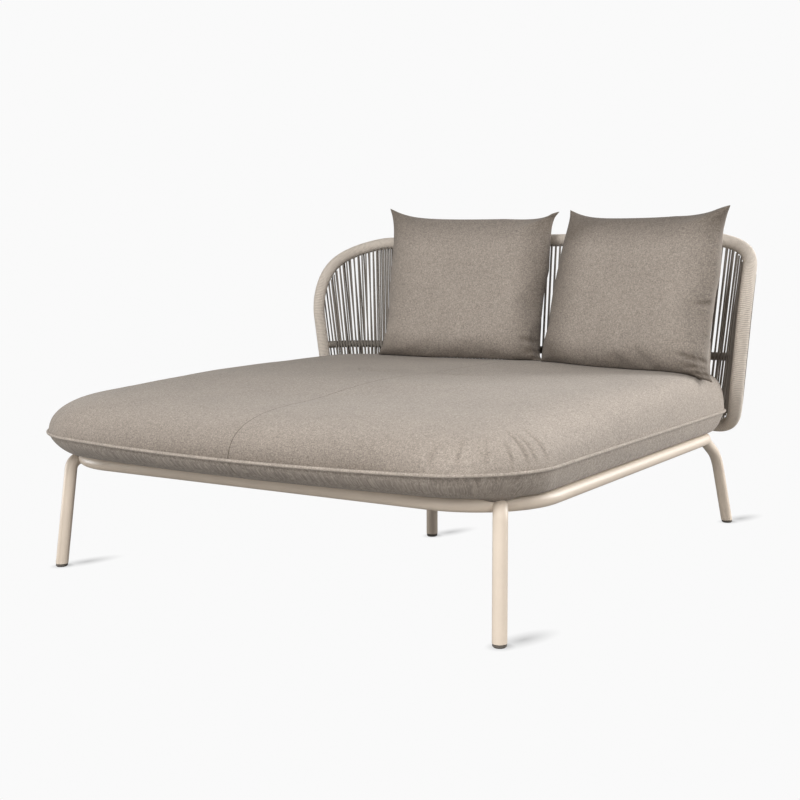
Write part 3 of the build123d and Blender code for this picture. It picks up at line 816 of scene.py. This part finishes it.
def round_cord(name, line, radius, mat, body, sides=12):
    """A closed cord along a level line, with flat coordinates along and round it."""
    tangents = np.roll(line, -1, 0) - np.roll(line, 1, 0)
    tangents /= np.linalg.norm(tangents, axis=1)[:, None]
    up = np.array((0, 0, 1.0))
    out = np.cross(tangents, up)
    out /= np.linalg.norm(out, axis=1)[:, None]
    angles = np.arange(sides) * 2 * pi / sides
    turns, lifts = np.cos(angles)[None, :, None], np.sin(angles)[None, :, None]
    rings = line[:, None, :] + radius * (turns * out[:, None, :] + lifts * up[None, None, :])
    verts = rings.reshape(-1, 3)
    obj = mesh_object(name, verts, grid_faces(len(line), sides, closed_rows=True), mat, None)
    layer = obj.data.uv_layers.new(name="cloth")
    steps = np.concatenate([[0], np.cumsum(np.linalg.norm(np.diff(line, axis=0), axis=1))])
    uvs = []
    for polygon in obj.data.polygons:
        for vertex in polygon.vertices:
            uvs += [steps[vertex // sides], (vertex % sides) / sides * 2 * pi * radius]
    layer.data.foreach_set("uv", uvs)
    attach(obj, body)
    return obj


fractions = np.arange(160) / 160
piping_plan = outline_at(0.0, piping_radius * 0.4, fractions, False).reshape(-1, 2)
piping_drop = front_sag(piping_plan[:, 0], piping_plan[:, 1])
piping_line = np.concatenate([piping_plan, (piping_height - piping_drop)[:, None]], 1)
piping = round_cord("mattress_piping_cord", piping_line, piping_radius, piping_fabric, "mattress")
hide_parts("mattress_piping")


# Pillows

def rounded(distance, reach=0.150):
    """Share of the full depth at a distance from the seam."""
    t = np.clip(distance / reach, 0, 1)
    return (1 - (1 - t) ** 2.3) ** (1 / 1.7)


def pull_in(distance, slope, most):
    """How far the seam runs inside the straight line between the corner tips."""
    return most * np.tanh(distance * slope / most)


def spaced(count, gather=0.55):
    """Shares from -1 to 1 that lie closer together near both ends."""
    t = np.linspace(-1, 1, count)
    return (1 - gather) * t + gather * np.sin(t * pi / 2)


def pillow_grid(width, height, half_depth, long_ear, top_in, left_in, columns=92, rows=76):
    """Front and back sheet, which share the seam round the edge and run out in flat corner ears."""
    u, v = np.meshgrid(spaced(columns), spaced(rows))
    from_side = (1 - np.abs(u)) * width / 2
    from_end = (1 - np.abs(v)) * height / 2
    stretch = 1 - long_ear * np.clip(u, 0, 1) ** 2 * np.clip(v, 0, 1) ** 2
    end_in = np.where(v > 0, top_in, 0.004)
    x = u * (width / 2 - pull_in(from_end, 0.42 * stretch, np.where(u < 0, left_in, 0.016)))
    y = v * (height / 2 - pull_in(from_side, 0.30 * stretch, end_in))
    foot = np.clip(-v, 0, 1)
    depth = half_depth * rounded(from_side) * rounded(from_end, 0.150 - 0.060 * foot)
    depth *= 1 - 0.10 * np.clip(v, 0, 1)
    front = np.stack([x, y, depth], -1)
    back = np.stack([x, y, -depth], -1)
    flat = np.stack([u * width / 2, v * height / 2], -1)
    index = np.arange(rows * columns).reshape(rows, columns)
    other = index.copy()
    inner = (slice(1, -1), slice(1, -1))
    other[inner] = rows * columns + np.arange((rows - 2) * (columns - 2)).reshape(rows - 2, columns - 2)
    verts = np.concatenate([front.reshape(-1, 3), back[inner].reshape(-1, 3)])
    uvs = np.concatenate([flat.reshape(-1, 2), flat[inner].reshape(-1, 2) + (0.7, 0.2)])
    both = np.stack([u, v], -1)
    place = np.concatenate([both.reshape(-1, 2), both[inner].reshape(-1, 2)])
    return verts, uvs, grid_quads(index, other), place


def simulate_cloth(obj, frames, pressure):
    """Runs Blender's cloth on the object and returns the shape of the last frame."""
    scene = bpy.context.scene
    cloth = obj.modifiers.new("cloth", "CLOTH")
    settings = cloth.settings
    settings.quality = 6
    settings.mass = 0.25
    settings.tension_stiffness = 40
    settings.compression_stiffness = 40
    settings.shear_stiffness = 10
    settings.bending_stiffness = 1.6
    settings.tension_damping = 10
    settings.compression_damping = 10
    settings.shear_damping = 10
    settings.bending_damping = 1.0
    settings.air_damping = 3.0
    settings.use_pressure = True
    settings.uniform_pressure_force = pressure
    settings.effector_weights.gravity = 0.0
    settings.shrink_min = 0.0
    settings.shrink_max = -0.10
    settings.vertex_group_shrink = "slack"
    cloth.collision_settings.use_collision = False
    cloth.point_cache.frame_start = 1
    cloth.point_cache.frame_end = frames
    for number in range(1, frames + 1):
        scene.frame_set(number)
    graph = bpy.context.evaluated_depsgraph_get()
    shape = np.array([v.co for v in obj.evaluated_get(graph).data.vertices])
    obj.modifiers.remove(cloth)
    scene.frame_set(1)
    return shape


# How far each corner of a pillow is drawn out of the plain shape, and how close to the corner it stays
corner_pulls = {
    "left": {(-1, 1): (-0.004, 0.013, 5), (1, 1): (0.010, 0.001, 5),
             (-1, -1): (-0.005, 0.0, 2), (1, -1): (0.0, 0.0, 2)},
    "right": {(-1, 1): (0.024, -0.006, 3), (1, 1): (-0.003, 0.0, 4),
              (-1, -1): (-0.016, 0.0, 2), (1, -1): (0.013, 0.0, 2)},
}

# Painted shade of the cloth towards the left, right, bottom and top seam
pillow_edge_shades = {"left": (0.40, 0.75, 0.80, 0.66), "right": (1.30, 0.40, 0.95, 1.10)}

# Creases in the front sheet: both ends from the lower right corner, depth and half width, in metres
pillow_creases = {
    "left": [
        (-0.005, 0.034, -0.062, 0.040, 0.0050, 0.0052),
        (-0.008, 0.018, -0.050, 0.020, 0.0040, 0.0044),
        (-0.012, 0.060, -0.085, 0.080, 0.0036, 0.0070),
        (0.000, 0.150, -0.040, 0.140, 0.0028, 0.0056),
        (-0.030, 0.010, -0.100, 0.006, 0.0030, 0.0050),
    ],
    "right": [
        (-0.010, 0.045, -0.095, 0.070, 0.0056, 0.0056),
        (-0.012, 0.034, -0.075, 0.036, 0.0044, 0.0046),
        (-0.008, 0.016, -0.062, 0.024, 0.0040, 0.0046),
        (-0.004, 0.205, -0.075, 0.190, 0.0034, 0.0066),
        (-0.004, 0.120, -0.045, 0.112, 0.0024, 0.0056),
        (-0.040, 0.008, -0.120, 0.008, 0.0030, 0.0056),
    ],
}


def creases(shape, table):
    """Depth of the creases that run out from the lower right corner of a pillow."""
    corner = np.array((shape[:, 0].max(), shape[:, 1].min()))
    place = shape[:, :2] - corner
    depth = np.zeros(len(shape))
    for x0, y0, x1, y1, deep, wide in table:
        start, run = np.array((x0, y0)), np.array((x1 - x0, y1 - y0))
        length = np.linalg.norm(run)
        along = (place - start) @ (run / length)
        across = (place - start) @ (np.array((-run[1], run[0])) / length)
        share = along / length
        fade = np.clip(share / 0.12, 0, 1) * np.clip((1 - share) / 0.6, 0, 1)
        fade = fade * fade * (3 - 2 * fade)
        across = across - 0.10 * along * share
        hollow = np.exp(-(across / wide) ** 2)
        ridge = 0.45 * np.exp(-((across - 2.1 * wide) / (1.3 * wide)) ** 2)
        depth += deep * fade * (hollow - ridge)
    return depth


def toward(distance, reach):
    """1 on a seam, falling to 0 at the reach from it."""
    return np.clip(1 - distance / reach, 0, 1) ** 1.2


def pillow(hand, seed, long_ear, top_in, left_in):
    """One pillow: sewn sheets, blown up by cloth where time allows, creased and stood on the mattress."""
    width, height, thick = pillow_size
    rest, uvs, faces, place = pillow_grid(width, height, thick / 2 - 0.006, long_ear, top_in, left_in)
    obj = mesh_object(f"pillow_{hand}", rest, faces, pillow_fabric, None)
    layer = obj.data.uv_layers.new(name="cloth")
    loops = np.zeros(len(obj.data.loops), int)
    obj.data.loops.foreach_get("vertex_index", loops)
    layer.data.foreach_set("uv", uvs[loops].ravel())
    u, v = place[:, 0], place[:, 1]
    shape = rest
    start = rest.copy()
    start[:, 2] += 0.0015 * smooth_noise(rest, seed, 70.0)
    obj.data.vertices.foreach_set("co", start.ravel())
    obj.data.update()
    weight = np.clip(u * 0.8 - v * 0.9 - 0.60, 0, 1) + 0.6 * np.clip(u * 0.9 + v * 0.7 - 1.05, 0, 1)
    weight += 0.6 * np.clip(-u * 0.8 - v * 0.9 - 0.85, 0, 1)
    slack = obj.vertex_groups.new(name="slack")
    for number, value in enumerate(np.clip(weight, 0, 1)):
        slack.add([number], float(value), "REPLACE")
    move = simulate_cloth(obj, 24, 3.0) - rest
    size = np.linalg.norm(move, axis=1)
    cap = 0.003 + 0.013 * np.clip(weight * 3, 0, 1)
    shape = rest + move * (cap * np.tanh(size / cap) / np.maximum(size, 1e-6))[:, None]
    low, high = shape.min(0), shape.max(0)
    shape = (shape - (low + high) / 2) * np.array((width, height, thick)) / (high - low)
    fold = 2.0 * creases(shape, pillow_creases[hand]) * (shape[:, 2] > 0)
    shape[:, 2] -= fold
    for (corner_u, corner_v), (dx, dy, closeness) in corner_pulls[hand].items():
        near = np.clip((1 + corner_u * u) / 2, 0, 1) * np.clip((1 + corner_v * v) / 2, 0, 1)
        shape[:, :2] += (near ** closeness)[:, None] * np.array((dx, dy))
    centre, turn, roll = pillow_poses[hand]
    stand = np.array(Matrix.Translation(centre) @ Matrix.Rotation(turn, 4, "Z") @
                     Matrix.Rotation(radians(90) - pillow_lean, 4, "X") @ Matrix.Rotation(roll, 4, "Z"))
    shape = shape @ stand[:3, :3].T + stand[:3, 3]
    rest_on_mattress(shape)
    obj.data.vertices.foreach_set("co", shape.ravel())
    obj.data.update()
    # Painted shade towards the seams, strongest beside the other pillow, and in the creases
    left, right, bottom, top = pillow_edge_shades[hand]
    painted_shade_share = top * toward(1 - v, 0.50) + bottom * toward(1 + v, 0.36)
    painted_shade_share += left * toward(1 + u, 0.55) + right * toward(1 - u, 0.34)
    add_painted_shade(obj, np.clip(painted_shade_share + np.clip(fold / fold_shade_depth, 0, 1) * 0.55, 0, 1))
    smooth = obj.modifiers.new("smooth", "SUBSURF")
    smooth.levels = 1
    smooth.render_levels = 1
    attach(obj, f"pillow_{hand}")
    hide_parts(f"pillow_cover_{hand}", f"pillow_inner_{hand}")
    return obj


def rest_on_mattress(shape, sink=0.014, clear=0.0012):
    """Lets the pillow down a little and flattens what would enter the mattress."""
    shape[:, 2] -= sink * np.clip((0.62 - shape[:, 2]) / 0.16, 0, 1)
    for number in np.flatnonzero(shape[:, 2] < 0.50):
        x, y, z = shape[number]
        hit = mattress_surface.ray_cast(Vector((x, y, 1.0)), Vector((0, 0, -1)))[0]
        if hit is not None:
            shape[number, 2] = max(z, hit.z + clear)


pillow("left", 3, 0.0, 0.026, 0.026)
pillow("right", 8, 0.55, 0.032, 0.014)


# CAD nodes that stay as they are
for name, node in nodes.items():
    if node.hide_render:
        continue
    if name.startswith("slat"):
        paint(node, slat_coat)
    elif name.startswith("rope_"):
        paint(node, shaded_strand_rope)
    elif "glide" in name:
        paint(node, glide_plastic)
    elif name in ("bracket_bolts", "bracket_rivet_nuts"):
        paint(node, bolt_steel)
    else:
        paint(node, coat)


# Floor, light and camera

def floor_material():
    """White floor for the camera with a soft shadow beside each foot, and a dimmer one for the light."""
    mat = bpy.data.materials.new("floor_white")
    mat.use_nodes = True
    tree = mat.node_tree
    tree.nodes.clear()
    out = tree.nodes.new("ShaderNodeOutputMaterial")
    place = tree.nodes.new("ShaderNodeTexCoord").outputs["Object"]
    dark = None
    for x, y, reach, long, wide, depth in foot_shadows:
        shift = tree.nodes.new("ShaderNodeMapping")
        shift.vector_type = "TEXTURE"
        shift.inputs["Location"].default_value = (
            x + cos(shadow_heading) * reach, y + sin(shadow_heading) * reach, 0)
        shift.inputs["Rotation"].default_value = (0, 0, shadow_heading)
        shift.inputs["Scale"].default_value = (long, wide, 1)
        tree.links.new(place, shift.inputs["Vector"])
        length = tree.nodes.new("ShaderNodeVectorMath")
        length.operation = "LENGTH"
        tree.links.new(shift.outputs["Vector"], length.inputs[0])
        inside = math_node(tree, "SUBTRACT", 1.0, length.outputs["Value"])
        inside = math_node(tree, "MAXIMUM", inside, 0.0)
        inside = math_node(tree, "MULTIPLY", math_node(tree, "POWER", inside, 1.35), depth)
        dark = inside if dark is None else math_node(tree, "MAXIMUM", dark, inside)
    glow = math_node(tree, "SUBTRACT", 1.0, dark)
    light = tree.nodes.new("ShaderNodeEmission")
    light.inputs["Color"].default_value = (1, 1, 1, 1)
    tree.links.new(math_node(tree, "MULTIPLY", glow, seen_white), light.inputs["Strength"])
    matt = tree.nodes.new("ShaderNodeBsdfDiffuse")
    matt.inputs["Color"].default_value = (0.28, 0.27, 0.26, 1)
    path = tree.nodes.new("ShaderNodeLightPath")
    both = tree.nodes.new("ShaderNodeMixShader")
    tree.links.new(path.outputs["Is Camera Ray"], both.inputs[0])
    tree.links.new(matt.outputs[0], both.inputs[1])
    tree.links.new(light.outputs[0], both.inputs[2])
    tree.links.new(both.outputs[0], out.inputs["Surface"])
    return mat


# Place, reach, length, width and depth of the shadows beside and under each foot
seen_white = 0.955
world_glow = 0.03
shadow_heading = 0.568 + 0.72
foot_places = [(0.628, -0.785), (-0.628, -0.785), (0.648, 0.610), (-0.648, 0.610), (0.0, 0.0)]
foot_shadows = [(x, y, 0.070, 0.110, 0.044, 0.40) for x, y in foot_places]
foot_shadows += [(x, y, 0.010, 0.044, 0.034, 0.62) for x, y in foot_places]
floor_half = 30.0
floor_corners = [(x * floor_half, y * floor_half, 0) for x, y in ((-1, -1), (1, -1), (1, 1), (-1, 1))]
floor = mesh_object("floor", floor_corners, [(0, 1, 2, 3)], floor_material(), None, smooth=False)


def area_light(name, place, target, size, power):
    data = bpy.data.lights.new(name, "AREA")
    data.size = size
    data.energy = power
    obj = bpy.data.objects.new(name, data)
    bpy.context.scene.collection.objects.link(obj)
    obj.location = place
    obj.rotation_euler = (Vector(target) - Vector(place)).to_track_quat("-Z", "Y").to_euler()


# Soft boxes: place, size and power
bed_middle = (0.0, -0.1, 0.35)
softboxes = [
    ("top_front", (0.6, -3.2, 3.0), 2.2, 139),
    ("top_back", (0.3, 1.9, 3.0), 2.2, 29),
    ("top_right", (3.2, -0.6, 2.6), 1.8, 21),
    ("right_front", (3.0, -3.0, 1.3), 2.0, 40),
    ("right_back", (3.0, 2.8, 1.5), 2.0, 175),
    ("left_low", (-3.2, -1.6, 0.45), 0.8, 41),
    ("front_low", (0.2, -3.8, 0.4), 0.7, 13),
]
for name, place, size, power in softboxes:
    area_light(f"softbox_{name}", place, bed_middle, size, power)

world = bpy.data.worlds.new("studio")
world.use_nodes = True
tree = world.node_tree
background = tree.nodes["Background"]
background.inputs["Color"].default_value = (1.0, 1.0, 1.0, 1)
seen = tree.nodes.new("ShaderNodeLightPath").outputs["Is Camera Ray"]
strength = math_node(tree, "ADD", math_node(tree, "MULTIPLY", seen, seen_white - world_glow), world_glow)
tree.links.new(strength, background.inputs["Strength"])
bpy.context.scene.world = world
bpy.context.scene.view_settings.view_transform = "Standard"

camera_place = Vector((1.7166, -2.8544, 0.7527))
camera_yaw, camera_pitch, camera_roll = 0.568, 0.110, -0.005
focal_pixels = 1205.8
image_pixels = 800
sensor_width = 36.0
right = Vector((cos(camera_yaw), sin(camera_yaw), 0))
level = Vector((-sin(camera_yaw), cos(camera_yaw), 0))
forward = level * cos(camera_pitch) - Vector((0, 0, 1)) * sin(camera_pitch)
up = right.cross(forward)
camera_right = right * cos(camera_roll) + up * sin(camera_roll)
camera_up = up * cos(camera_roll) - right * sin(camera_roll)
camera_data = bpy.data.cameras.new("camera")
camera_data.sensor_width = sensor_width
camera_data.lens = focal_pixels / image_pixels * sensor_width
camera_data.clip_end = 100.0
camera = bpy.data.objects.new("camera", camera_data)
bpy.context.scene.collection.objects.link(camera)
turn = Matrix((camera_right, camera_up, -forward)).transposed().to_4x4()
camera.matrix_world = Matrix.Translation(camera_place) @ turn
bpy.context.scene.camera = camera
